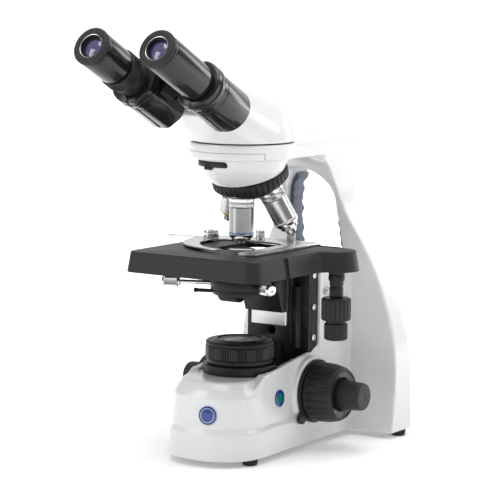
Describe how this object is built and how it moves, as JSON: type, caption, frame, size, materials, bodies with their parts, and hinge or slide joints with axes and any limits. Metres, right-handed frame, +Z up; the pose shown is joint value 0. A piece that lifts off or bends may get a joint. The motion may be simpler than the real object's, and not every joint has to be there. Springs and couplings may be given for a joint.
{
  "type": "microscope",
  "caption": "White binocular compound microscope with tilted eyepieces, rotating objective turret, black mechanical stage, condenser, lit base and focus knobs on both sides.",
  "frame": {"origin": "middle of the bounding box at the bottom of the feet, on the bench", "axes": "+Z up; the user sits at -Y facing +Y; +X is the user's right hand"},
  "size_m": [0.1908, 0.3512, 0.383],
  "materials": {
    "enamel": "glossy white enamel over cast metal",
    "black_paint": "satin black paint",
    "stage_black": "matte black hard coat",
    "black_plastic": "glossy black plastic",
    "knob_plastic": "matte dark grey plastic",
    "rubber": "soft black rubber",
    "grip_rubber": "slate blue rubber",
    "chrome": "polished plated brass",
    "steel": "brushed steel",
    "aluminium": "satin aluminium",
    "brass": "plain brass",
    "optic_glass": "coated lens glass",
    "frosted_glass": "frosted glass",
    "prism_glass": "polished prism glass",
    "board": "green circuit board",
    "badge_blue": "blue enamelled badge without any mark"
  },
  "bodies": {
    "stand": {"stand_casting": "enamel", "nosepiece_housing": "enamel", "filter_plug": "black_plastic", "base_plates": "steel", "feet": "rubber", "badges": "badge_blue", "hand_grips": "grip_rubber", "focus_rail": "black_paint", "column_screws": "steel", "sleeve_bushes": "enamel", "flange": "black_paint", "lamp_lenses": "frosted_glass", "lamp_unit": "aluminium", "circuit_board": "board", "power_inlet": "knob_plastic"},
    "mains_switch": {"switch_rocker": "knob_plastic"},
    "lamp_dimmer": {"brightness_dial": "knob_plastic"},
    "head": {"head_housing": "enamel", "head_dovetail": "black_paint", "tube_hub": "black_paint", "beam_prism": "prism_glass"},
    "left_tube": {"tube_body_left": "black_plastic"},
    "right_tube": {"tube_body_right": "black_plastic"},
    "left_eyepiece": {"eyepiece_left": "black_plastic", "eyecup_left": "rubber", "eye_lens_left": "optic_glass"},
    "right_eyepiece": {"eyepiece_right": "black_plastic", "eyecup_right": "rubber", "eye_lens_right": "optic_glass"},
    "diopter": {"diopter_ring": "black_plastic"},
    "turret": {"turret_plate": "black_paint", "objective_40x": "chrome", "objective_100x": "chrome", "objective_4x": "chrome", "objective_10x": "chrome", "objective_lenses": "optic_glass"},
    "stage_carrier": {"carrier": "black_paint", "stage_frame": "stage_black"},
    "coarse_drive": {"coarse_sleeve": "steel", "coarse_knobs": "knob_plastic"},
    "fine_drive": {"fine_shaft": "steel", "fine_knobs": "knob_plastic"},
    "tension": {"tension_ring": "knob_plastic"},
    "stage_top": {"stage_plate": "stage_black", "x_rail": "stage_black"},
    "depth_drive": {"depth_knob": "knob_plastic"},
    "width_drive": {"width_knob": "knob_plastic"},
    "holder": {"holder_plate": "steel", "holder_carriage": "stage_black", "holder_screws": "chrome"},
    "finger": {"slide_finger": "steel"},
    "condenser": {"condenser_mount": "black_paint", "condenser_slide": "aluminium", "condenser_body": "black_paint", "condenser_lenses": "optic_glass"},
    "condenser_drive": {"condenser_knob": "black_plastic"},
    "aperture": {"iris_ring": "black_paint"},
    "left_centring": {"centring_screw_left": "chrome"},
    "right_centring": {"centring_screw_right": "chrome"},
    "field_diaphragm": {"field_ring": "black_paint"}
  },
  "joints": [
    {"name": "switch_rock", "type": "hinge", "parent": "stand", "child": "mains_switch", "pos_m": [0.025, 0.1674, 0.025], "axis": [1, 0, 0], "range_deg": [-10, 10]},
    {"name": "dimmer_turn", "type": "hinge", "parent": "stand", "child": "lamp_dimmer", "pos_m": [-0.0422, 0.0149, 0.042], "axis": [1, 0, 0], "range_deg": [0, 270]},
    {"name": "head_turn", "type": "hinge", "parent": "stand", "child": "head", "pos_m": [0, 0.0099, 0.28], "axis": [0, 0, 1], "continuous": true},
    {"name": "left_tube_swing", "type": "hinge", "parent": "head", "child": "left_tube", "pos_m": [0, -0.04973, 0.32709], "axis": [0, -0.887, 0.4617], "range_deg": [-14, 20]},
    {"name": "right_tube_swing", "type": "hinge", "parent": "head", "child": "right_tube", "pos_m": [0, -0.04973, 0.32709], "axis": [0, -0.887, 0.4617], "range_deg": [-20, 14]},
    {"name": "left_eyepiece_lift", "type": "slide", "parent": "left_tube", "child": "left_eyepiece", "axis": [0, -0.887, 0.4617], "range_m": [0, 0.025]},
    {"name": "right_eyepiece_lift", "type": "slide", "parent": "right_tube", "child": "right_eyepiece", "axis": [0, -0.887, 0.4617], "range_m": [0, 0.025]},
    {"name": "diopter_turn", "type": "hinge", "parent": "left_tube", "child": "diopter", "pos_m": [-0.03347, -0.12315, 0.34501], "axis": [0, -0.887, 0.4617], "range_deg": [-90, 90]},
    {"name": "turret_turn", "type": "hinge", "parent": "stand", "child": "turret", "pos_m": [0, 0.02629, 0.23913], "axis": [0, 0.3502, -0.9367], "continuous": true},
    {"name": "focus_slide", "type": "slide", "parent": "stand", "child": "stage_carrier", "axis": [0, 0, 1], "range_m": [-0.02, 0.0005]},
    {"name": "coarse_turn", "type": "hinge", "parent": "stand", "child": "coarse_drive", "pos_m": [0, 0.0679, 0.0525], "axis": [1, 0, 0], "range_deg": [-200, 10]},
    {"name": "fine_turn", "type": "hinge", "parent": "stand", "child": "fine_drive", "pos_m": [0, 0.0679, 0.0525], "axis": [1, 0, 0], "continuous": true},
    {"name": "tension_turn", "type": "hinge", "parent": "stand", "child": "tension", "pos_m": [0.0428, 0.0679, 0.0525], "axis": [1, 0, 0], "range_deg": [-20, 20]},
    {"name": "stage_depth", "type": "slide", "parent": "stage_carrier", "child": "stage_top", "axis": [0, 1, 0], "range_m": [-0.03, 0.0035]},
    {"name": "depth_turn", "type": "hinge", "parent": "stage_top", "child": "depth_drive", "pos_m": [0.0754, 0.0499, 0.13], "axis": [0, 0, 1], "range_deg": [-220, 30]},
    {"name": "holder_width", "type": "slide", "parent": "stage_top", "child": "holder", "axis": [1, 0, 0], "range_m": [-0.038, 0.038]},
    {"name": "width_turn", "type": "hinge", "parent": "stage_top", "child": "width_drive", "pos_m": [0.0754, 0.0499, 0.11], "axis": [0, 0, 1], "range_deg": [-185, 185]},
    {"name": "finger_swing", "type": "hinge", "parent": "holder", "child": "finger", "pos_m": [-0.05, 0.0359, 0.188], "axis": [0, 0, 1], "range_deg": [-30, 0], "stiffness_Nm_per_rad": 0.05, "springref_deg": 11.46},
    {"name": "condenser_lift", "type": "slide", "parent": "stage_carrier", "child": "condenser", "axis": [0, 0, 1], "range_m": [-0.017, 0]},
    {"name": "condenser_turn", "type": "hinge", "parent": "condenser", "child": "condenser_drive", "pos_m": [-0.02, 0.0479, 0.138], "axis": [1, 0, 0], "range_deg": [-165, 1]},
    {"name": "aperture_turn", "type": "hinge", "parent": "condenser", "child": "aperture", "pos_m": [0, 0.0099, 0.146], "axis": [0, 0, 1], "range_deg": [-40, 40]},
    {"name": "left_centring_turn", "type": "hinge", "parent": "condenser", "child": "left_centring", "pos_m": [0, 0.0099, 0.153], "axis": [-0.9272, -0.3746, 0], "range_deg": [-720, 720]},
    {"name": "right_centring_turn", "type": "hinge", "parent": "condenser", "child": "right_centring", "pos_m": [0, 0.0099, 0.153], "axis": [0.9272, -0.3746, 0], "range_deg": [-720, 720]},
    {"name": "field_turn", "type": "hinge", "parent": "stand", "child": "field_diaphragm", "pos_m": [0, 0.0099, 0.09], "axis": [0, 0, 1], "range_deg": [-45, 45]}
  ],
  "couplings": [
    {"joint": "right_tube_swing", "follows": "left_tube_swing", "ratio": -1},
    {"joint": "coarse_turn", "follows": "focus_slide", "rad_per_m": 166.67},
    {"joint": "depth_turn", "follows": "stage_depth", "rad_per_m": 125},
    {"joint": "width_turn", "follows": "holder_width", "rad_per_m": 83.333},
    {"joint": "condenser_turn", "follows": "condenser_lift", "rad_per_m": 166.67}
  ]
}
